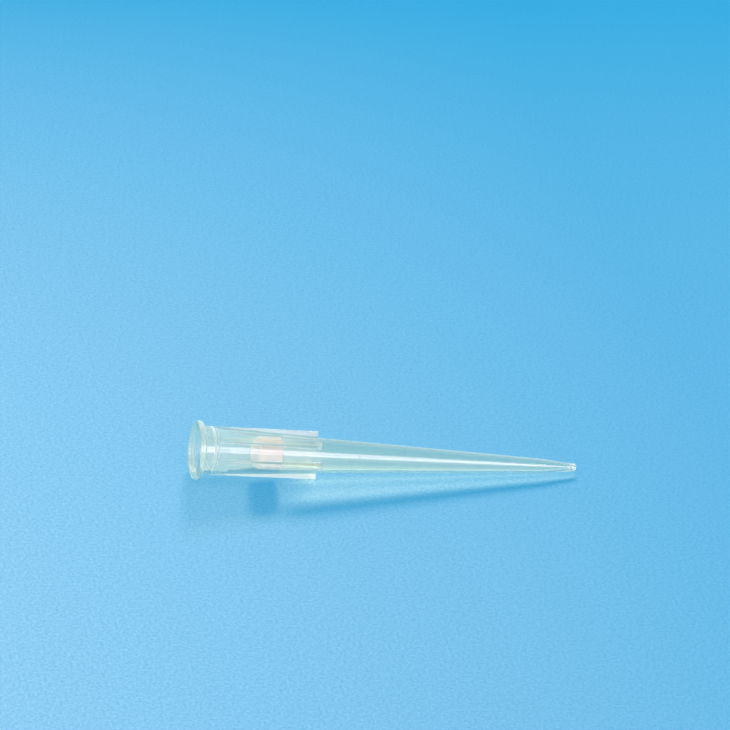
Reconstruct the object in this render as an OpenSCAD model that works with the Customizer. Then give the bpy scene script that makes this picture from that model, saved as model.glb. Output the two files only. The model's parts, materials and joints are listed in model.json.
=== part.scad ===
// Filter pipette tip, 200 microlitre size: a moulded clear tip and the porous filter plug
// that is pressed into its bore. It lies on the surface z = 0 the way a dropped tip comes
// to rest, on its rim and where its point begins, with the mouth towards -X and two ribs
// straddling the line below it. The origin is the middle of its bounding box, down on that
// surface.
// Depths are measured along the tip from the mouth face. All sizes are in millimetres.

/* [Overall] */
// Length from the mouth face to the end of the point
tip_length = 50.8; // [47:0.1:60]

/* [Rim] */
// Outside diameter of the bead round the mouth
rim_d = 7.5; // [7.2:0.1:8.8]
// Height of the bead along the tip
rim_height = 0.88; // [0.7:0.02:1.2]
// Rounding of the bead's two outer edges
rim_edge_r = 0.3; // [0.1:0.05:0.3]

/* [Collar] */
// Outside diameter of the collar under the rim
collar_d = 6.2; // [6:0.05:6.8]
// Depth of the collar's lower edge
collar_depth = 2.1; // [1.6:0.1:3]
// Length of the two small steps, with a land between them, from the collar to the body
collar_steps = 0.5; // [0.2:0.1:1]
// Share of that length that one step takes
collar_step_share = 0.18; // [0.1:0.02:0.4]

/* [Ribs] */
// Number of ribs spaced evenly round the body
rib_count = 6; // [3:1:6]
// Width of one rib
rib_width = 0.6; // [0.4:0.05:0.9]
// How far the ribs' outer faces lie below the collar's, on the radius
rib_inset = 0.03; // [0.01:0.01:0.1]
// Depth of the ribs' square lower ends
rib_depth = 16; // [12:0.5:20]
// Height of the small step in the body at the ribs' lower ends
rib_ring_step = 0.03; // [0.01:0.01:0.06]

/* [Body] */
// Outside diameter of the body at the foot of the collar
body_d = 5.84; // [5.7:0.02:5.96]
// Outside diameter of the body where the steeper point begins
point_start_d = 1.88; // [1.6:0.02:2.2]
// Length of the steeper point
point_length = 4.6; // [3:0.1:7]
// Outside diameter of the end of the point
point_end_d = 1.0; // [0.8:0.02:1.3]
// Rounding of the outer edge at the end of the point
point_edge_r = 0.06; // [0.02:0.01:0.1]

/* [Volume rings] */
// Depth of the upper volume ring
upper_ring_depth = 21.1; // [20.5:0.1:24]
// Depth of the lower volume ring
lower_ring_depth = 28.1; // [26:0.1:34]
// Radius of the round bead that forms a volume ring
ring_bead_r = 0.12; // [0.08:0.01:0.16]
// Height that a volume ring stands above the body
ring_height = 0.03; // [0.02:0.01:0.05]

/* [Socket] */
// Diameter of the bore just inside the rounded mouth
mouth_d = 5.62; // [5.4:0.02:5.8]
// Rounding of the mouth's inner edge
mouth_edge_r = 0.33; // [0.15:0.03:0.42]
// Diameter of the straight land that seals on the pipette's shaft
seal_d = 5.2; // [5.1:0.02:5.3]
// Depth at which the sealing land begins
seal_depth = 2; // [1.5:0.1:2.3]
// Length of the sealing land
seal_length = 2.1; // [1.5:0.1:2.6]
// How far the bore narrows below the sealing land, on the radius
seal_step = 0.13; // [0.05:0.01:0.18]
// Length over which it narrows there
seal_ramp = 0.6; // [0.2:0.1:1.2]

/* [Filter and its seat] */
// Diameter of the bore that grips the filter plug
seat_d = 4.2; // [4.1:0.02:4.4]
// Depth of the filter plug's upper face
filter_depth = 7.95; // [7:0.05:9]
// Length of the filter plug
filter_length = 3.25; // [3:0.05:5]
// Rounding of the filter plug's edges
filter_edge_r = 0.03; // [0.01:0.01:0.03]
// Gap between the plug and its seat, on the radius
filter_gap = 0.005; // [0.002:0.001:0.01]
// Straight seat above the filter plug
seat_lead = 0.4; // [0.1:0.1:1]
// Width of the shoulder that stops the plug, on the radius
shoulder = 0.06; // [0.04:0.01:0.1]

/* [Channel] */
// Wall of the body where the steeper point begins
point_wall = 0.3; // [0.26:0.01:0.36]
// Diameter of the outlet
outlet_d = 0.5; // [0.4:0.02:0.6]
// Length of the straight outlet
outlet_length = 0.8; // [0.4:0.1:1.5]

/* [Hidden] */
$fn = 96;
// Cutting solids run past the faces they cut by this much
cut_over = 0.5;

rim_r = rim_d / 2;
collar_r = collar_d / 2;
rib_r = collar_r - rib_inset;
body_r = body_d / 2;
body_depth = collar_depth + collar_steps;
step_length = collar_steps * collar_step_share;
land_height = (collar_r - body_r) / 2;
point_depth = tip_length - point_length;
point_start_r = point_start_d / 2;
point_end_r = point_end_d / 2;
mouth_r = mouth_d / 2;
seal_r = seal_d / 2;
seal_end = seal_depth + seal_length;
seat_r = seat_d / 2;
seat_depth = filter_depth - seat_lead;
filter_end = filter_depth + filter_length;
filter_r = seat_r - filter_gap;
channel_end = tip_length - outlet_length;
outlet_r = outlet_d / 2;

// Radius at a depth on the straight line between two [radius, depth] points
function radius_on(from, to, depth) =
    from[0] + (to[0] - from[0]) * (depth - from[1]) / (to[1] - from[1]);

body_top = [body_r, body_depth];
point_start = [point_start_r, point_depth];
// The land between the collar's two steps has the body's taper and stands proud of its cone
land_top_depth = collar_depth + step_length;
land_end_depth = body_depth - step_length;
land_top_r = radius_on(body_top, point_start, land_top_depth) + land_height;
land_end_r = radius_on(body_top, point_start, land_end_depth) + land_height;
// The body is one straight cone, set in by a small step where the ribs end
rib_end_r = radius_on(body_top, point_start, rib_depth);
body_below_ribs = [rib_end_r - rib_ring_step, rib_depth];

// Rest on a flat surface. Three places can meet it besides the bead: the end of the point,
// the shoulder where the point begins and the ribs' lower ends. Each is a [radius, depth]
// corner with a rounding, and the axis tilts only as far as the first of them allows.
rim_corner = [rim_r - rim_edge_r, rim_height - rim_edge_r];
point_corner = [point_end_r - point_edge_r, tip_length - point_edge_r];
half_pitch = 180 / rib_count;
rib_corner_r = sqrt(pow(rib_r, 2) - pow(rib_width / 2, 2)) * cos(half_pitch)
    + rib_width / 2 * sin(half_pitch);
rib_corner = [rib_corner_r, rib_depth];

// Tilt at which the bead and a corner are equally low
function rest_tilt(corner, corner_edge_r) =
    let(drop = rim_corner[0] - corner[0], run = corner[1] - rim_corner[1])
    atan2(drop, run) + asin((rim_edge_r - corner_edge_r) / norm([drop, run]));

tilt = min(rest_tilt(point_corner, point_edge_r), rest_tilt(point_start, 0),
    rest_tilt(rib_corner, 0));
mouth_z = rim_corner[1] * sin(tilt) + rim_corner[0] * cos(tilt) + rim_edge_r;
// Ends of the bounding box along X, with the middle of the mouth at x = 0
least_x = rim_edge_r * cos(tilt) - rim_corner[0] * sin(tilt) - rim_edge_r;
most_x = point_corner[1] * cos(tilt) + point_corner[0] * sin(tilt) + point_edge_r;
mouth_x = -(least_x + most_x) / 2;

// Stands a shape drawn along +Z, mouth down at z = 0, on its resting place
module lay_down() {
    translate([mouth_x, 0, mouth_z])
        rotate([0, 90 + tilt, 0])
            children();
}

// A rectangle from the axis to radius r between two depths, with its outer corners
// rounded by edge_r
module rounded_disc(r, from, to, edge_r) {
    translate([0, from])
        square([r - edge_r, to - from]);
    translate([0, from + edge_r])
        square([r, to - from - 2 * edge_r]);
    for (corner = [from + edge_r, to - edge_r])
        translate([r - edge_r, corner])
            circle(r = edge_r);
}

// A volume ring: a round bead sunk into the body so that ring_height stands out
module volume_ring(depth) {
    body_r_here = radius_on(body_below_ribs, point_start, depth);
    translate([body_r_here + ring_height - ring_bead_r, depth])
        circle(r = ring_bead_r);
}

// Half section of the solid outside of the tip, [radius, depth]
module outer_section() {
    rounded_disc(rim_r, 0, rim_height, rim_edge_r);
    polygon([
        [0, rim_edge_r],
        [collar_r, rim_edge_r],
        [collar_r, collar_depth],
        [land_top_r, land_top_depth],
        [land_end_r, land_end_depth],
        body_top,
        [rib_end_r, rib_depth],
        body_below_ribs,
        point_start,
        [point_end_r, tip_length - point_edge_r],
        [0, tip_length - point_edge_r],
    ]);
    // A rod inside the point, of which only the rounded end shows
    rounded_disc(point_end_r, point_depth, tip_length, point_edge_r);
    volume_ring(upper_ring_depth);
    volume_ring(lower_ring_depth);
}

// Half section of the hollow, from above the mouth to below the outlet
module bore_section() {
    // The rounded mouth edge is what is left outside a circle
    difference() {
        translate([0, -cut_over])
            square([mouth_r + mouth_edge_r, cut_over + mouth_edge_r]);
        translate([mouth_r + mouth_edge_r, mouth_edge_r])
            circle(r = mouth_edge_r);
    }
    polygon([
        [0, mouth_edge_r],
        [mouth_r, mouth_edge_r],
        [seal_r, seal_depth],
        [seal_r, seal_end],
        [seal_r - seal_step, seal_end + seal_ramp],
        [seat_r, seat_depth],
        [seat_r, filter_end],
        [seat_r - shoulder, filter_end],
        [point_start_r - point_wall, point_depth],
        [outlet_r, channel_end],
        [outlet_r, tip_length + cut_over],
        [0, tip_length + cut_over],
    ]);
}

// One rib, from inside the rim down to its square end
module rib() {
    translate([0, -rib_width / 2, rim_edge_r])
        cube([collar_r, rib_width, rib_depth - rim_edge_r]);
}

module ribs() {
    intersection() {
        cylinder(r = rib_r, h = rib_depth);
        // The tip rests between two ribs, so the first is half a pitch from straight down
        for (i = [0 : rib_count - 1])
            rotate([0, 0, (i + 0.5) * 360 / rib_count])
                rib();
    }
}

module tip_body() {
    color([0.93, 0.95, 0.80, 0.5])
        lay_down()
            difference() {
                union() {
                    rotate_extrude()
                        outer_section();
                    ribs();
                }
                rotate_extrude()
                    bore_section();
            }
}

module filter_plug() {
    color([0.95, 0.92, 0.88])
        lay_down()
            rotate_extrude()
                rounded_disc(filter_r, filter_depth, filter_end, filter_edge_r);
}

tip_body();
filter_plug();
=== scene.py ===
"""Looks of a clear filter pipette tip with its porous plug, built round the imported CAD.

Lengths named *_MM are millimetres. The tip's own axis runs from its mouth to its point,
and a depth is a distance along it from the mouth face. The tip lies on its side, so it has
a top and a low side.
"""

import json
import math

import bmesh
import bpy
import numpy as np
from mathutils import Matrix, Vector, noise


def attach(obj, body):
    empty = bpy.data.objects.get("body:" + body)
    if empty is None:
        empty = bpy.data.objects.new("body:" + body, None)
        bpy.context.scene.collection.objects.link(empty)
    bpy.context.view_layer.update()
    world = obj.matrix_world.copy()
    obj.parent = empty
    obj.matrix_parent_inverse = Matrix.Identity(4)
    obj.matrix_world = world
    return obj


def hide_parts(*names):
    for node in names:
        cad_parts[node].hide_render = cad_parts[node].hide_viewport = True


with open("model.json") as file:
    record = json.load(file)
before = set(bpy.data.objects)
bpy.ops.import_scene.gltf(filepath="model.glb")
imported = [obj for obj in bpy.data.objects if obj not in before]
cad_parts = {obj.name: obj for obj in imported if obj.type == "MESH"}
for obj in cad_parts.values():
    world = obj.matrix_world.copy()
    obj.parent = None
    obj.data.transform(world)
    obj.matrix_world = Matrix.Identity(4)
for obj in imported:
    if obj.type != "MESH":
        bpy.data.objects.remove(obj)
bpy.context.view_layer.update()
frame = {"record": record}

MM = 0.001

# ---- Sizes, the same named values as the CAD source ----------------------------------
TIP_LENGTH_MM = 50.8
RIM_R_MM = 3.75
RIM_HEIGHT_MM = 0.88
RIM_EDGE_R_MM = 0.38
COLLAR_R_MM = 3.1
COLLAR_DEPTH_MM = 2.1
BODY_R_MM = 2.92
BODY_DEPTH_MM = 2.6
STEP_LENGTH_MM = 0.09
LAND_HEIGHT_MM = 0.09
RIB_COUNT = 6
RIB_HALF_MM = 0.3
RIB_R_MM = 3.07
RIB_DEPTH_MM = 16.0
RIB_STEP_MM = 0.03
POINT_START_R_MM = 0.94
POINT_DEPTH_MM = 46.2
POINT_END_R_MM = 0.5
POINT_EDGE_R_MM = 0.06
RING_DEPTHS_MM = (21.1, 28.1)
RING_BEAD_R_MM = 0.12
RING_HEIGHT_MM = 0.03
MOUTH_R_MM = 2.81
MOUTH_EDGE_R_MM = 0.33
SEAL_R_MM = 2.6
SEAL_DEPTH_MM = 2.0
SEAL_END_MM = 4.1
SEAL_STEP_MM = 0.13
SEAL_RAMP_MM = 0.6
SEAT_R_MM = 2.1
SEAT_DEPTH_MM = 7.55
FILTER_DEPTH_MM = 7.95
FILTER_END_MM = 11.2
SHOULDER_MM = 0.06
POINT_WALL_MM = 0.3
OUTLET_R_MM = 0.25
CHANNEL_END_MM = 50.0

# ---- Soft edges that only the scene has ------------------------------------------------
RIM_FOOT_R_MM = 0.08
COLLAR_EDGE_R_MM = 0.03
LAND_EDGE_R_MM = 0.04
BODY_FOOT_R_MM = 0.05
BODY_BLEND_MM = 0.3
POINT_BLEND_R_MM = 0.6
CHANNEL_BLEND_R_MM = 0.3
SEAT_BLEND_R_MM = 0.5
RAMP_BLEND_R_MM = 1.5
SEAL_END_BLEND_R_MM = 1.0
SEAL_START_BLEND_R_MM = 0.3
RIB_FOOT_MM = 0.1
RIB_EDGE_MM = 0.06
# A low rib's foot and edge take no more than this share of its height
RIB_SOFT_SHARE = 0.4
# How far each ring is from a rib's end, and how far the rib's top has dropped there
RIB_END_MM = ((0.06, 0.0), (0.03, 0.008), (0.012, 0.024), (0.0, 0.05))

# ---- How finely the tip is divided -----------------------------------------------------
UPPER_STRETCH_MM = 0.5
LOWER_STRETCH_MM = 2.2
FLAT_MARGIN_MM = 0.03
RIBBED_START_MM = 1.0
RIBBED_RINGS = 13
GAP_COLUMNS = 21
# Plain rings, with no ribs, keep the columns at the angles they have at this radius
PLAIN_R_MM = 2.75
TIP_SHARP_DEGREES = 34
NEVER_SHARP_DEGREES = 180

# ---- The tip's axes, from the CAD's own mount on the sealing land ---------------------
socket = next(m for m in frame["record"]["mounts"] if m["name"] == "shaft_socket")
socket_depth = (SEAL_DEPTH_MM + SEAL_END_MM) / 2 * MM
axis = -Vector(socket["axis"]).normalized()
mouth = Vector(socket["pos_m"]) - axis * socket_depth
side = Vector((0, 1, 0))
low_side = side.cross(axis).normalized()


def tip_to_world(points):
    """Points drawn in millimetres round the tip's axis, +x to the low side and +z to the
    point, as metres in the row frame."""
    turn = np.array([low_side, side, axis]) * MM
    return points @ turn + np.array(mouth)


# ---- Lines and rings ------------------------------------------------------------------
def rounded(corners, steps):
    """A line of (radius, depth) corners with each corner rounded by its own third value,
    which is 0 where it stays sharp."""
    out = []
    count = len(corners)
    for i, (r, z, edge) in enumerate(corners):
        here = np.array([r, z], float)
        if not edge or i in (0, count - 1):
            out.append(here)
            continue
        before = np.array(corners[i - 1][:2], float) - here
        after = np.array(corners[i + 1][:2], float) - here
        u, v = before / np.linalg.norm(before), after / np.linalg.norm(after)
        half = math.acos(max(-1.0, min(1.0, float(u @ v)))) / 2
        reach = edge / math.tan(half)
        centre = here + (u + v) / np.linalg.norm(u + v) * edge / math.sin(half)
        first, last = here + u * reach - centre, here + v * reach - centre
        start = math.atan2(first[1], first[0])
        turn = math.atan2(last[1], last[0]) - start
        turn = (turn + math.pi) % (2 * math.pi) - math.pi
        for k in range(steps + 1):
            a = start + turn * k / steps
            out.append(centre + edge * np.array([math.cos(a), math.sin(a)]))
    return out


def divided(line, most):
    """The same line with extra points, so that no stretch is longer than most, and with one
    a margin from each end of a long stretch, so that it is shaded straight."""
    out = [line[0]]
    for a, b in zip(line, line[1:]):
        long = float(np.linalg.norm(b - a))
        parts = max(1, math.ceil(long / most - 1e-6))
        shares = [(k + 1) / parts for k in range(parts)]
        if long > 4 * FLAT_MARGIN_MM:
            margin = FLAT_MARGIN_MM / long
            shares = sorted({*shares, margin, 1 - margin})
        out += [a + (b - a) * share for share in shares]
    return out


def cone_radius(depth):
    """Radius of the body's straight cone at a depth, with its small step where the ribs
    end."""
    t = (depth - BODY_DEPTH_MM) / (POINT_DEPTH_MM - BODY_DEPTH_MM)
    r = BODY_R_MM + (POINT_START_R_MM - BODY_R_MM) * t
    if depth > RIB_DEPTH_MM:
        end = cone_radius(RIB_DEPTH_MM) - RIB_STEP_MM
        t = (depth - RIB_DEPTH_MM) / (POINT_DEPTH_MM - RIB_DEPTH_MM)
        r = end + (POINT_START_R_MM - end) * t
    return r


def volume_ring(depth):
    """Corners of a volume ring on the body, a shallow bead."""
    reach = math.sqrt(RING_BEAD_R_MM**2 - (RING_BEAD_R_MM - RING_HEIGHT_MM) ** 2)
    base = cone_radius(depth)
    out = []
    for k in range(-4, 5):
        z = reach * k / 4
        lift = math.sqrt(RING_BEAD_R_MM**2 - z * z) - RING_BEAD_R_MM + RING_HEIGHT_MM
        out.append((base + lift, depth + z, 0))
    return out


def column_sides(base_r, height):
    """The (sideways, radius) points of one rib's columns from its left foot to its right
    one, for a rib that stands height above a body of radius base_r."""
    foot = min(RIB_FOOT_MM, height * RIB_SOFT_SHARE)
    edge = min(RIB_EDGE_MM, height * RIB_SOFT_SHARE)
    top = base_r + height
    left = [
        (RIB_HALF_MM + 0.115, base_r),
        (RIB_HALF_MM + 0.055, base_r + foot * 0.12),
        (RIB_HALF_MM + 0.02, base_r + foot * 0.45),
        (RIB_HALF_MM + 0.005, base_r + foot),
        (RIB_HALF_MM - 0.004, top - edge),
        (RIB_HALF_MM - 0.02, top - edge * 0.32),
        (RIB_HALF_MM - 0.055, top),
        (RIB_HALF_MM * 0.4, top),
    ]
    return [(-s, r) for s, r in left] + [(0.0, top)] + [(s, r) for s, r in left[::-1]]


def ring_points(r, z, rib_top=None):
    """One ring of the tip. With rib_top the ribs stand out from it to that radius."""
    height = max(0.0, (rib_top or r) - r)
    pitch = 2 * math.pi / RIB_COUNT
    points = []
    for i in range(RIB_COUNT):
        middle = (i + 0.5) * pitch
        if rib_top:
            polar = [(math.asin(s / rr), rr) for s, rr in column_sides(r, height)]
        else:
            polar = [(math.asin(s / PLAIN_R_MM), r) for s, _ in column_sides(r, 0.0)]
        points += [(middle + a, rr) for a, rr in polar]
        gap_from, gap_to = middle + polar[-1][0], middle + pitch + polar[0][0]
        for k in range(GAP_COLUMNS):
            share = (k + 1) / (GAP_COLUMNS + 1)
            points.append((gap_from + (gap_to - gap_from) * share, r))
    return np.array([(rr * math.cos(a), rr * math.sin(a), z) for a, rr in points])


def joined_rings(ring_count, columns, closed):
    """Four-sided faces between each ring of points and the next, and with closed between
    the last and the first too."""
    faces = []
    for i in range(ring_count if closed else ring_count - 1):
        a, b = i * columns, (i + 1) % ring_count * columns
        for k in range(columns):
            m = (k + 1) % columns
            faces.append((a + k, a + m, b + m, b + k))
    return faces


# ---- Haze, which stands for thick plastic: 0 is clear and 1 is milky -------------------
SOCKET_HAZE = 0.06
PAST_PLUG_HAZE = 0.17
RIM_HAZE = 0.36
RIM_LOW_HAZE = 0.36
COLLAR_STEP_HAZE = 0.658
BODY_STEP_HAZE = 0.94
RIB_HAZE = 0.4
RIB_SIDE_HAZE = 0.55
RIB_END_HAZE = 0.9
OUTLET_HAZE = 0.5
# The rim is hazy from one radius to the next, and its mouth face only on the low side
RIM_CLEAR_R_MM = 3.3
RIM_HAZY_R_MM = 3.6
RIM_END_MM = RIM_HEIGHT_MM + 0.1
RIM_FACE_MM = 0.06
# The middle of each small step's haze, and how far it reaches on both sides of it
COLLAR_STEP_MM = (COLLAR_DEPTH_MM - 0.04, 0.14)
BODY_STEP_MM = (BODY_DEPTH_MM - STEP_LENGTH_MM / 2, 0.05)
RIB_END_STEP_MM = (RIB_DEPTH_MM - 0.03, 0.04)
# A point this far above the cone belongs to a step or to a rib's side, and a rib is at its
# haziest from the last of these heights on
STEP_RAISED_MM = 0.01
RIB_RAISED_MM = 0.03
RIB_HAZY_MM = 0.5
# A rib's sides begin this far from its middle, and their haze at this depth
RIB_SIDE_MM = 0.6 * RIB_HALF_MM
RIB_SIDE_START_MM = BODY_DEPTH_MM + 1.5
OUTLET_CLEAR_MM = TIP_LENGTH_MM - 0.3
OUTLET_HAZY_MM = TIP_LENGTH_MM - 0.1


def ramp(value, start, end):
    """0 up to the start, 1 from the end on, and a straight rise between them."""
    return np.clip((value - start) / (end - start), 0.0, 1.0)


def haze_of(points):
    """How hazy the plastic is at each point, from 0 to 1."""
    r, z = np.hypot(points[:, 0], points[:, 1]), points[:, 2]
    body = np.array([cone_radius(depth) for depth in z])

    def near(middle, reach):
        return abs(z - middle) < reach

    # From 0 a little below the tip's middle to 1 near its low side
    low = ramp(points[:, 0] / np.maximum(r, 0.1), 0.25, 0.875)
    rim = (z < RIM_END_MM) * (RIM_HAZE + RIM_LOW_HAZE * low)
    rim *= ramp(r, RIM_CLEAR_R_MM, RIM_HAZY_R_MM)
    rim *= np.where(z > RIM_FACE_MM, 1.0, low)

    raised = r > body + STEP_RAISED_MM
    steps = COLLAR_STEP_HAZE * near(*COLLAR_STEP_MM) + BODY_STEP_HAZE * near(*BODY_STEP_MM)
    wall = SOCKET_HAZE * (z < FILTER_END_MM) + raised * steps
    wall += PAST_PLUG_HAZE * (z >= FILTER_END_MM) * (z <= RIB_DEPTH_MM)

    ribs = (z > COLLAR_DEPTH_MM) * ramp(r - body, 0.0, RIB_HAZY_MM)
    pitch = 2 * math.pi / RIB_COUNT
    turn = (np.arctan2(points[:, 1], points[:, 0]) / pitch) % 1.0 - 0.5
    sideways = abs(r * np.sin(turn * pitch))
    rib_sides = (r > body + RIB_RAISED_MM) * (sideways > RIB_SIDE_MM)
    rib_sides = rib_sides * (z > RIB_SIDE_START_MM)
    rib_ends = raised * near(*RIB_END_STEP_MM)

    outlet = ramp(z, OUTLET_CLEAR_MM, OUTLET_HAZY_MM)
    return np.max([rim, wall, RIB_HAZE * ribs, RIB_SIDE_HAZE * rib_sides,
                   RIB_END_HAZE * rib_ends, OUTLET_HAZE * outlet], axis=0)


# ---- The two pieces --------------------------------------------------------------------
def finish_mesh(name, points, faces, sharp_degrees, node):
    """A piece in the row frame from points in tip millimetres. For the materials the mesh
    keeps the points as drawn as tip_mm, the haze as thick, and as upper how far a point
    lies towards the tip's top, from -1 on the low side to 1."""
    mesh = bpy.data.meshes.new(name)
    mesh.from_pydata(tip_to_world(points).tolist(), [], faces)
    drawn = mesh.attributes.new("tip_mm", "FLOAT_VECTOR", "POINT")
    drawn.data.foreach_set("vector", points.astype(np.float32).ravel())
    thick = mesh.attributes.new("thick", "FLOAT", "POINT")
    thick.data.foreach_set("value", haze_of(points).astype(np.float32))
    towards_top = -points[:, 0] / np.maximum(np.hypot(points[:, 0], points[:, 1]), 0.01)
    upper = mesh.attributes.new("upper", "FLOAT", "POINT")
    upper.data.foreach_set("value", towards_top.astype(np.float32))
    work = bmesh.new()
    work.from_mesh(mesh)
    bmesh.ops.recalc_face_normals(work, faces=work.faces)
    for f in work.faces:
        f.smooth = True
    for e in work.edges:
        e.smooth = e.calc_face_angle(0.0) < math.radians(sharp_degrees)
    work.to_mesh(mesh)
    work.free()
    piece = bpy.data.objects.new(name, mesh)
    bpy.context.scene.collection.objects.link(piece)
    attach(piece, "root")
    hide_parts(node)
    return piece


def build_tip():
    """The moulding: one closed skin of rings, down the outside and back up the bore."""
    lip_r = MOUTH_R_MM + MOUTH_EDGE_R_MM
    lip = (lip_r, 0, 0)
    land_end_depth = BODY_DEPTH_MM - STEP_LENGTH_MM
    land_depth = COLLAR_DEPTH_MM + STEP_LENGTH_MM
    land_r = cone_radius(land_depth) + LAND_HEIGHT_MM
    # The step from the collar to the land passes the ribs' radius here
    rib_start = COLLAR_DEPTH_MM + STEP_LENGTH_MM * (
        (COLLAR_R_MM - RIB_R_MM) / (COLLAR_R_MM - land_r))
    upper = rounded([
        lip,
        (RIM_R_MM, 0, RIM_EDGE_R_MM),
        (RIM_R_MM, RIM_HEIGHT_MM, RIM_EDGE_R_MM),
        (COLLAR_R_MM, RIM_HEIGHT_MM, RIM_FOOT_R_MM),
        (COLLAR_R_MM, COLLAR_DEPTH_MM, COLLAR_EDGE_R_MM),
        (RIB_R_MM, rib_start, 0),
    ], 6)
    # The collar's two small steps, out of which the ribs stand, and then the straight cone
    steps = rounded([
        (RIB_R_MM, rib_start, 0),
        (land_r, land_depth, LAND_EDGE_R_MM),
        (cone_radius(land_end_depth) + LAND_HEIGHT_MM, land_end_depth, LAND_EDGE_R_MM),
        (BODY_R_MM, BODY_DEPTH_MM, BODY_FOOT_R_MM),
        (cone_radius(BODY_DEPTH_MM + BODY_BLEND_MM), BODY_DEPTH_MM + BODY_BLEND_MM, 0),
    ], 4)[1:]
    ribbed = steps + [
        np.array([cone_radius(z), z])
        for z in np.linspace(BODY_DEPTH_MM + RIBBED_START_MM,
                             RIB_DEPTH_MM - RIB_END_MM[0][0], RIBBED_RINGS)
    ]
    lower_corners = [(cone_radius(RIB_DEPTH_MM) - RIB_STEP_MM, RIB_DEPTH_MM, 0)]
    for depth in RING_DEPTHS_MM:
        lower_corners += volume_ring(depth)
    outlet = (OUTLET_R_MM, TIP_LENGTH_MM, 0)
    lower_corners += [
        (POINT_START_R_MM, POINT_DEPTH_MM, POINT_BLEND_R_MM),
        (POINT_END_R_MM, TIP_LENGTH_MM, POINT_EDGE_R_MM),
        outlet,
    ]
    lower = divided(rounded(lower_corners, 5), LOWER_STRETCH_MM)
    bore = divided(rounded([
        outlet,
        (OUTLET_R_MM, CHANNEL_END_MM, CHANNEL_BLEND_R_MM),
        (POINT_START_R_MM - POINT_WALL_MM, POINT_DEPTH_MM, POINT_BLEND_R_MM),
        (SEAT_R_MM - SHOULDER_MM, FILTER_END_MM, 0),
        (SEAT_R_MM, FILTER_END_MM, 0),
        (SEAT_R_MM, SEAT_DEPTH_MM, SEAT_BLEND_R_MM),
        (SEAL_R_MM - SEAL_STEP_MM, SEAL_END_MM + SEAL_RAMP_MM, RAMP_BLEND_R_MM),
        (SEAL_R_MM, SEAL_END_MM, SEAL_END_BLEND_R_MM),
        (SEAL_R_MM, SEAL_DEPTH_MM, SEAL_START_BLEND_R_MM),
        (MOUTH_R_MM, 0, MOUTH_EDGE_R_MM),
        lip,
    ], 6), LOWER_STRETCH_MM)[1:-1]

    rings = [ring_points(r, z) for r, z in divided(upper, UPPER_STRETCH_MM)]
    rings += [ring_points(r, z, RIB_R_MM) for r, z in ribbed]
    # The ribs' square ends, with their outer edge rounded
    end_r = cone_radius(RIB_DEPTH_MM)
    for back, drop in RIB_END_MM:
        rings.append(ring_points(end_r, RIB_DEPTH_MM - back, RIB_R_MM - drop))
    rings += [ring_points(r, z) for r, z in lower + bore]
    faces = joined_rings(len(rings), len(rings[0]), closed=True)
    return finish_mesh("clear_tip", np.concatenate(rings), faces, TIP_SHARP_DEGREES,
                       "tip_body")


PLUG_CLEARANCE_MM = 0.025
PLUG_EDGE_R_MM = 0.4
PLUG_HUB_R_MM = 0.02
PLUG_STRETCH_MM = 0.055
PLUG_COLUMNS = 300
GRAIN_MM = 0.16
GRAIN_DEPTH_MM = 0.018
# Grains are dented more and less over patches a few grains wide
PATCH_MM = 4 * GRAIN_MM
PATCH_SHARE = 0.5
HUB_DENT_MM = 0.3 * GRAIN_DEPTH_MM


def build_plug():
    """The sintered plug: a short cylinder with soft edges, whose skin is fused grains."""
    r = SEAT_R_MM - PLUG_CLEARANCE_MM
    line = divided(rounded([
        (PLUG_HUB_R_MM, FILTER_DEPTH_MM, 0),
        (r, FILTER_DEPTH_MM, PLUG_EDGE_R_MM),
        (r, FILTER_END_MM, PLUG_EDGE_R_MM),
        (PLUG_HUB_R_MM, FILTER_END_MM, 0),
    ], 5), PLUG_STRETCH_MM)
    a = np.arange(PLUG_COLUMNS) * 2 * math.pi / PLUG_COLUMNS
    rings = [np.stack([rr * np.cos(a), rr * np.sin(a), np.full_like(a, z)], 1)
             for rr, z in line]
    points = np.concatenate(rings)
    middle = np.array([0, 0, (FILTER_DEPTH_MM + FILTER_END_MM) / 2])
    for i, p in enumerate(points):
        grains = noise.voronoi(Vector(p) / GRAIN_MM)[0][0]
        patch = noise.noise(Vector(p) / PATCH_MM)
        dent = GRAIN_DEPTH_MM * min(1.0, grains * (1.0 + PATCH_SHARE * patch))
        inward = middle - p
        points[i] = p + inward / max(1e-6, float(np.linalg.norm(inward))) * dent
    faces = joined_rings(len(rings), PLUG_COLUMNS, closed=False)
    # A fan closes each end
    for ring, z in ((0, FILTER_DEPTH_MM + HUB_DENT_MM),
                    (len(rings) - 1, FILTER_END_MM - HUB_DENT_MM)):
        hub = len(points)
        points = np.vstack([points, [[0, 0, z]]])
        first = ring * PLUG_COLUMNS
        for k in range(PLUG_COLUMNS):
            faces.append((first + k, first + (k + 1) % PLUG_COLUMNS, hub))
    return finish_mesh("porous_plug", points, faces, NEVER_SHARP_DEGREES,
                       "filter_plug")


# ---- Nodes ----------------------------------------------------------------------------
def new_material(name):
    material = bpy.data.materials.new(name)
    material.use_nodes = True
    tree = material.node_tree
    return material, tree, tree.nodes["Principled BSDF"]


def add(tree, kind, **sockets):
    """A node with its inputs set by name."""
    node = tree.nodes.new(kind)
    for key, value in sockets.items():
        node.inputs[key].default_value = value
    return node


def put(tree, value, target):
    """Link a socket's value to the target, or set a plain value on it."""
    if isinstance(value, bpy.types.NodeSocket):
        tree.links.new(value, target)
    else:
        target.default_value = value


def attribute(tree, name, output="Fac"):
    node = tree.nodes.new("ShaderNodeAttribute")
    node.attribute_name = name
    return node.outputs[output]


def separated(tree, vector):
    node = tree.nodes.new("ShaderNodeSeparateXYZ")
    tree.links.new(vector, node.inputs["Vector"])
    return node.outputs


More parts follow.
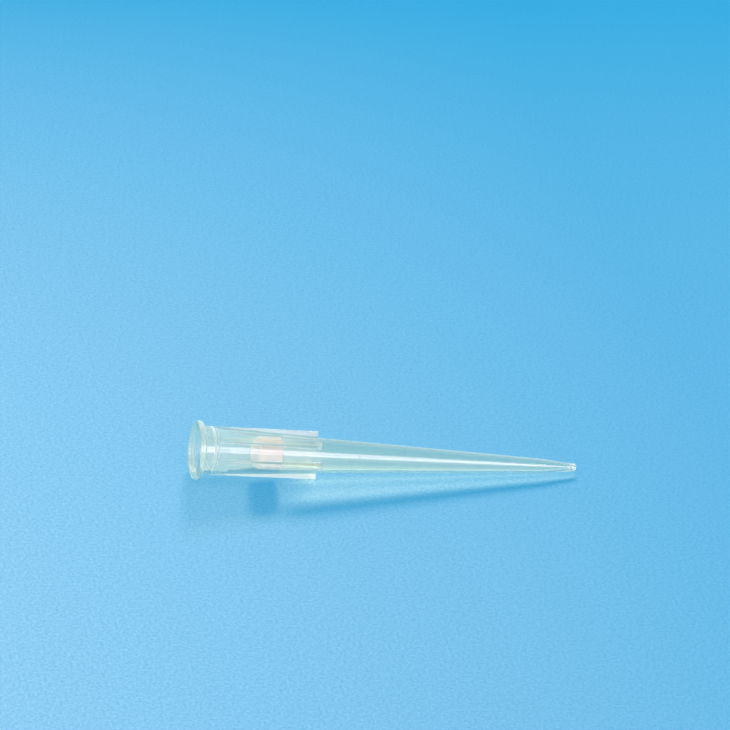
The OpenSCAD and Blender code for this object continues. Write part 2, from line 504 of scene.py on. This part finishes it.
def noise_texture(tree, vector, scale, detail=4.0, rough=0.5):
    node = add(tree, "ShaderNodeTexNoise", Scale=scale, Detail=detail, Roughness=rough)
    tree.links.new(vector, node.inputs["Vector"])
    return node.outputs["Fac"]


def spread(tree, value, low, high, start=0.0, end=1.0):
    """A value from start to end carried to the range from low to high."""
    node = tree.nodes.new("ShaderNodeMapRange")
    tree.links.new(value, node.inputs["Value"])
    node.inputs["From Min"].default_value = start
    node.inputs["From Max"].default_value = end
    node.inputs["To Min"].default_value = low
    node.inputs["To Max"].default_value = high
    return node.outputs["Result"]


def maths(tree, operation, a, b):
    node = tree.nodes.new("ShaderNodeMath")
    node.operation = operation
    put(tree, a, node.inputs[0])
    put(tree, b, node.inputs[1])
    return node.outputs["Value"]


def mixed_colour(tree, factor, a, b, blend="MIX"):
    node = tree.nodes.new("ShaderNodeMix")
    node.data_type = "RGBA"
    node.blend_type = blend
    put(tree, factor, node.inputs["Factor"])
    put(tree, a, node.inputs["A"])
    put(tree, b, node.inputs["B"])
    return node.outputs["Result"]


def bumped(tree, shader, height, strength, distance, below=None):
    node = add(tree, "ShaderNodeBump", Strength=strength, Distance=distance)
    tree.links.new(height, node.inputs["Height"])
    if below is not None:
        tree.links.new(below, node.inputs["Normal"])
    tree.links.new(node.outputs["Normal"], shader.inputs["Normal"])
    return node.outputs["Normal"]


def chosen_by_ray(tree, surface, choices):
    """The surface, with a shader of its own in its place for each kind of ray in choices."""
    rays = tree.nodes.new("ShaderNodeLightPath")
    for kind, shader in choices:
        choice = tree.nodes.new("ShaderNodeMixShader")
        tree.links.new(rays.outputs[kind], choice.inputs["Fac"])
        tree.links.new(surface, choice.inputs[1])
        tree.links.new(shader, choice.inputs[2])
        surface = choice.outputs["Shader"]
    return surface


# ---- Clear polypropylene --------------------------------------------------------------
PLASTIC_IOR = 1.49
# Share of the light that goes through, where the plastic is clear and where it is milky
THROUGH_CLEAR = 0.945
THROUGH_MILKY = 0.55
# How much less goes through where the low side is seen at a grazing angle
GRAZING_LOSS = 0.28
PLASTIC_COLOURS = ((0.98, 0.985, 0.90, 1), (0.99, 0.995, 0.94, 1))
PLASTIC_TINT = (0.97, 0.88, 0.10, 1)
PLASTIC_TINT_DENSITY = 138.0
# The flow marks' noise is squeezed across the tip and drawn out along it
FLOW_SCALE = (3.0, 3.0, 0.12)
# Tints of the rays that pass straight through a wall
WALL_TINT = (0.95, 0.96, 0.94, 1)
MIRRORED_SIDE_TINT = (0.88, 0.92, 0.95, 1)
MIRRORED_TOP_TINT = (0.58, 0.74, 0.84, 1)
# Light from the lamps: a round wall gathers it, or bends it aside
GATHERED_BY_SOCKET = (1.10, 1.075, 1.03, 1)
GATHERED_PAST_PLUG = (1.20, 1.18, 1.10, 1)
BENT_ASIDE = (0.01, 0.08, 0.14, 1)
BACK_WALL_SHARE = 0.33


def lamp_tint(tree, place, facing, height):
    """Tint of the lamps' light that passes a wall. Past the plug the slanting upper wall
    bends it aside, and over the socket the back wall holds a part of it back."""
    along = separated(tree, place)
    past_plug = spread(tree, along["Z"], 0.0, 1.0, FILTER_END_MM, RIB_DEPTH_MM)
    over_socket = spread(tree, along["Z"], 1.0, 0.0, FILTER_END_MM, RIB_DEPTH_MM)
    slant = maths(tree, "MULTIPLY", spread(tree, facing, 0.0, 1.0, 0.02, 0.22),
                  spread(tree, height, 0.0, 1.0, -0.1, 0.2))
    behind = spread(tree, along["Y"], 0.0, BACK_WALL_SHARE, -1.0, 0.5)
    aside = maths(tree, "ADD", maths(tree, "MULTIPLY", slant, past_plug),
                  maths(tree, "MULTIPLY", behind, over_socket))
    gathered = mixed_colour(tree, past_plug, GATHERED_BY_SOCKET, GATHERED_PAST_PLUG)
    return mixed_colour(tree, aside, gathered, BENT_ASIDE)


def clear_polypropylene():
    """Clear polypropylene with a faint yellow tint, a little haze, and the fine lengthwise
    flow marks of a long moulding."""
    material, tree, shader = new_material("clear_polypropylene")
    output = tree.nodes["Material Output"]
    shader.inputs["IOR"].default_value = PLASTIC_IOR
    place = attribute(tree, "tip_mm", "Vector")
    thick = attribute(tree, "thick")
    height = attribute(tree, "upper")
    facing = tree.nodes.new("ShaderNodeLayerWeight").outputs["Facing"]

    # The thicker the plastic, the more of the light its haze scatters back
    low = spread(tree, height, 1.0, 0.0, -0.7, 0.0)
    grazing = maths(tree, "MULTIPLY",
                    spread(tree, facing, 0.0, GRAZING_LOSS, 0.5, 0.95), low)
    through = maths(tree, "SUBTRACT",
                    spread(tree, thick, THROUGH_CLEAR, THROUGH_MILKY), grazing)
    tree.links.new(through, shader.inputs["Transmission Weight"])

    cloud = noise_texture(tree, place, scale=0.6, detail=3)
    stretched = tree.nodes.new("ShaderNodeMapping")
    stretched.inputs["Scale"].default_value = FLOW_SCALE
    tree.links.new(place, stretched.inputs["Vector"])
    flow = noise_texture(tree, stretched.outputs["Vector"], scale=1.6)
    fine = noise_texture(tree, place, scale=7.0, detail=5)
    tree.links.new(mixed_colour(tree, cloud, *PLASTIC_COLOURS), shader.inputs["Base Color"])
    polish = maths(tree, "ADD", spread(tree, fine, 0.015, 0.06),
                   spread(tree, thick, 0.0, 0.3, 0.3, 0.8))
    tree.links.new(polish, shader.inputs["Roughness"])
    marks = bumped(tree, shader, flow, strength=0.03, distance=0.01 * MM)
    bumped(tree, shader, fine, strength=0.03, distance=0.004 * MM, below=marks)
    tint = add(tree, "ShaderNodeVolumeAbsorption", Color=PLASTIC_TINT,
               Density=PLASTIC_TINT_DENSITY)
    tree.links.new(tint.outputs["Volume"], output.inputs["Volume"])

    # Light from the lamps and from matt surfaces, and what the tip mirrors of itself,
    # passes straight through the thin walls
    top = spread(tree, height, 0.0, 1.0, 0.65, 0.8)
    choices = []
    for kind, colour in (
            ("Is Shadow Ray", lamp_tint(tree, place, facing, height)),
            ("Is Diffuse Ray", WALL_TINT),
            ("Is Reflection Ray",
             mixed_colour(tree, top, MIRRORED_SIDE_TINT, MIRRORED_TOP_TINT))):
        clear = tree.nodes.new("ShaderNodeBsdfTransparent")
        put(tree, colour, clear.inputs["Color"])
        choices.append((kind, clear.outputs["BSDF"]))
    surface = chosen_by_ray(tree, shader.outputs["BSDF"], choices)
    tree.links.new(surface, output.inputs["Surface"])
    return material


# ---- Sintered polyethylene ------------------------------------------------------------
PLUG_IOR = 1.5
PLUG_COLOURS = ((0.77, 0.735, 0.81, 1), (0.83, 0.795, 0.87, 1))
# Painted light: the plug's face on the mouth side is painted brighter, down to its soft edge
PLUG_FACE_PAINTED_LIGHT = (0.99, 0.92, 0.99, 1)
PLUG_FACE_FROM_MM = FILTER_DEPTH_MM + 0.02
PLUG_FACE_TO_MM = FILTER_DEPTH_MM + 0.14
PORE_MM = 0.12
PORE_SHADE = 0.72


def sintered_polyethylene():
    """Fused white polyethylene grains with open pores between them."""
    material, tree, shader = new_material("sintered_polyethylene")
    shader.inputs["IOR"].default_value = PLUG_IOR
    shader.inputs["Subsurface Weight"].default_value = 0.8
    shader.inputs["Subsurface Radius"].default_value = (1.0, 0.8, 0.65)
    shader.inputs["Subsurface Scale"].default_value = 2.0 * MM
    place = attribute(tree, "tip_mm", "Vector")
    grains = add(tree, "ShaderNodeTexVoronoi", Scale=1 / PORE_MM)
    tree.links.new(place, grains.inputs["Vector"])
    from_grain = grains.outputs["Distance"]
    soft = noise_texture(tree, place, scale=1.1)
    fine = noise_texture(tree, place, scale=16.0, detail=5, rough=0.6)
    skin = mixed_colour(tree, soft, *PLUG_COLOURS)
    # Painted light: the face towards the mouth gets a brighter colour, down to its soft edge
    painted_light_on_face = spread(tree, separated(tree, place)["Z"], 1.0, 0.0,
                     PLUG_FACE_FROM_MM, PLUG_FACE_TO_MM)
    light = mixed_colour(tree, painted_light_on_face, skin, PLUG_FACE_PAINTED_LIGHT)
    shade = spread(tree, from_grain, 1.0, PORE_SHADE)
    tree.links.new(mixed_colour(tree, 1.0, light, shade, "MULTIPLY"),
                   shader.inputs["Base Color"])
    tree.links.new(spread(tree, fine, 0.7, 0.95), shader.inputs["Roughness"])
    hollow = spread(tree, from_grain, 1.0, 0.0)
    pores = bumped(tree, shader, hollow, strength=0.6, distance=0.03 * MM)
    bumped(tree, shader, fine, strength=0.4, distance=0.012 * MM, below=pores)
    return material


# ---- Blue card ------------------------------------------------------------------------
# Painted light: the card's colour is painted as if it were lit most at its near left, and
# less and less to the right and the back
CARD_LEFT_M, CARD_RIGHT_M = -0.055, 0.049
CARD_RIGHT_LIGHT = 0.428
CARD_NEAR_M, CARD_BACK_M = -0.062, 0.138
CARD_BACK_LIGHT = 0.159
CARD_BACK_POWER = 2.24
CARD_PAINTED_LIGHT_COLOURS = ((0.0, 0.031, 0.068, 1), (0.152, 0.179, 0.191, 1))
CARD_GLOW = (0.0, 0.30, 0.56, 1)
CARD_SPECULAR_LEVEL = 0.15


def blue_card():
    """The pale blue card that the tip lies on, with a fine tooth."""
    material, tree, shader = new_material("pale_blue_card")
    shader.inputs["Specular IOR Level"].default_value = CARD_SPECULAR_LEVEL
    shader.inputs["Emission Color"].default_value = CARD_GLOW
    shader.inputs["Emission Strength"].default_value = 1.0
    place = tree.nodes.new("ShaderNodeTexCoord").outputs["Object"]
    speck = noise_texture(tree, place, scale=2600.0, detail=3, rough=0.6)
    cloud = noise_texture(tree, place, scale=40.0, detail=3)
    across = separated(tree, place)
    rightward = spread(tree, across["X"], 1.0, CARD_RIGHT_LIGHT, CARD_LEFT_M, CARD_RIGHT_M)
    backward = maths(tree, "POWER",
                     spread(tree, across["Y"], 0.0, 1.0, CARD_NEAR_M, CARD_BACK_M),
                     CARD_BACK_POWER)
    # Painted light: how brightly the card's colour is painted, from its near left to the
    # right and the back
    painted_light = maths(tree, "MULTIPLY", rightward, spread(tree, backward, 1.0, CARD_BACK_LIGHT))
    colour = mixed_colour(tree, painted_light, *CARD_PAINTED_LIGHT_COLOURS)
    tooth = spread(tree, speck, 0.70, 1.30, 0.3, 0.7)
    tree.links.new(mixed_colour(tree, 1.0, colour, tooth, "MULTIPLY"),
                   shader.inputs["Base Color"])
    tree.links.new(spread(tree, cloud, 0.42, 0.5), shader.inputs["Roughness"])
    bumped(tree, shader, speck, strength=0.25, distance=0.05 * MM)
    return material


tip = build_tip()
plug = build_plug()
tip.data.materials.append(clear_polypropylene())
plug.data.materials.append(sintered_polyethylene())

# ---- Floor ----------------------------------------------------------------------------
FLOOR_HALF_M = 3.0
FLOOR_Z_M = -0.00001
floor_mesh = bpy.data.meshes.new("floor")
floor_mesh.from_pydata(
    [(x * FLOOR_HALF_M, y * FLOOR_HALF_M, FLOOR_Z_M) for x, y in
     ((-1, -1), (1, -1), (1, 1), (-1, 1))], [], [(0, 1, 2, 3)])
floor = bpy.data.objects.new("floor", floor_mesh)
bpy.context.scene.collection.objects.link(floor)
floor.data.materials.append(blue_card())


# ---- Camera ---------------------------------------------------------------------------
def direction(azimuth, elevation):
    """Unit vector towards a place round the object: azimuth 0 is -Y and 90 is +X."""
    a, e = math.radians(azimuth), math.radians(elevation)
    return Vector((math.sin(a) * math.cos(e), -math.cos(a) * math.cos(e), math.sin(e)))


def aimed(back, roll=0.0):
    """Rotation of a camera or lamp that looks along -back."""
    look = (-back).to_track_quat("-Z", "Y").to_matrix()
    return (look @ Matrix.Rotation(math.radians(roll), 3, "Z")).to_euler()


CAMERA_AZIMUTH = -16.5
CAMERA_ELEVATION = 30.0
CAMERA_ROLL = 8.35
CAMERA_DISTANCE_M = 0.5
CAMERA_LENS_MM = 193.1
CAMERA_SENSOR_MM = 36.0
CAMERA_AIM = Vector((-2.73, 6.49, 12.29)) * MM

camera_data = bpy.data.cameras.new("camera")
camera_data.lens = CAMERA_LENS_MM
camera_data.sensor_width = CAMERA_SENSOR_MM
camera = bpy.data.objects.new("camera", camera_data)
bpy.context.scene.collection.objects.link(camera)
camera_back = direction(CAMERA_AZIMUTH, CAMERA_ELEVATION)
camera.location = CAMERA_AIM + camera_back * CAMERA_DISTANCE_M
camera.rotation_euler = aimed(camera_back, CAMERA_ROLL)
bpy.context.scene.camera = camera


# ---- Light ----------------------------------------------------------------------------
def softbox(name, azimuth, elevation, distance, size, radiance, colour=(1, 1, 1)):
    """A rectangular lamp aimed at the object, as bright as radiance where white paper in
    plain light is 1."""
    width, height = size
    data = bpy.data.lights.new(name, "AREA")
    data.shape = "RECTANGLE"
    data.size, data.size_y = width, height
    data.energy = radiance * math.pi * width * height
    data.color = colour
    lamp = bpy.data.objects.new(name, data)
    bpy.context.scene.collection.objects.link(lamp)
    back = direction(azimuth, elevation)
    lamp.location = back * distance
    lamp.rotation_euler = aimed(back)
    lamp.visible_camera = False
    return lamp


# The key lamp makes the white streak along the tip, and two more add soft light on its left
softbox("key", azimuth=29.0, elevation=34.0, distance=0.6, size=(0.28, 0.29), radiance=4.5,
        colour=(1, 0.80, 0.96))
softbox("left", azimuth=-136.0, elevation=20.0, distance=0.9, size=(0.3, 0.3), radiance=4.0)
softbox("side", azimuth=-62.0, elevation=24.0, distance=0.9, size=(0.45, 0.45), radiance=4.0)
# The front lamp lights the ribs and the plug, and the strong one at the back throws the
# shadow. Neither is mirrored by the tip or seen through it.
front_lamp = softbox("front", azimuth=-14.0, elevation=9.0, distance=0.9, size=(0.6, 0.25),
                     radiance=7.5, colour=(1, 0.98, 0.94))
back_lamp = softbox("back", azimuth=168.0, elevation=28.0, distance=1.2, size=(0.2, 0.2),
                    radiance=295.0)
for lamp in (front_lamp, back_lamp):
    lamp.visible_glossy = False
    lamp.visible_transmission = False

SEEN_COLOUR = (0.16, 0.52, 0.85, 1)
MIRRORED_COLOUR = (0.45, 0.72, 0.86, 1)
MIRRORED_FRONT_COLOUR = (0.95, 0.97, 1.0, 1)
FRONT_HEADING = (0.0, -0.94, -0.34)
FILL_STRENGTH = 0.27


def studio():
    """A blue surround for the camera, a paler one that is lightest in front for mirrored
    and refracted rays, and a weak white fill for the rest."""
    world = bpy.data.worlds.new("studio")
    world.use_nodes = True
    tree = world.node_tree
    tree.nodes.clear()
    seen = add(tree, "ShaderNodeBackground", Color=SEEN_COLOUR)
    mirrored = tree.nodes.new("ShaderNodeBackground")
    heading = tree.nodes.new("ShaderNodeTexCoord").outputs["Generated"]
    towards_front = tree.nodes.new("ShaderNodeVectorMath")
    towards_front.operation = "DOT_PRODUCT"
    towards_front.inputs[1].default_value = FRONT_HEADING
    tree.links.new(heading, towards_front.inputs[0])
    in_front = spread(tree, towards_front.outputs["Value"], 0.0, 1.0, 0.1, 0.7)
    tree.links.new(mixed_colour(tree, in_front, MIRRORED_COLOUR, MIRRORED_FRONT_COLOUR),
                   mirrored.inputs["Color"])
    fill = add(tree, "ShaderNodeBackground", Color=(1, 1, 1, 1), Strength=FILL_STRENGTH)
    mirrored_light = mirrored.outputs["Background"]
    surface = chosen_by_ray(tree, fill.outputs["Background"], (
        ("Is Glossy Ray", mirrored_light),
        ("Is Transmission Ray", mirrored_light),
        ("Is Camera Ray", seen.outputs["Background"]),
    ))
    sky = tree.nodes.new("ShaderNodeOutputWorld")
    tree.links.new(surface, sky.inputs["Surface"])
    return world


bpy.context.scene.world = studio()
bpy.context.scene.view_settings.view_transform = "Standard"
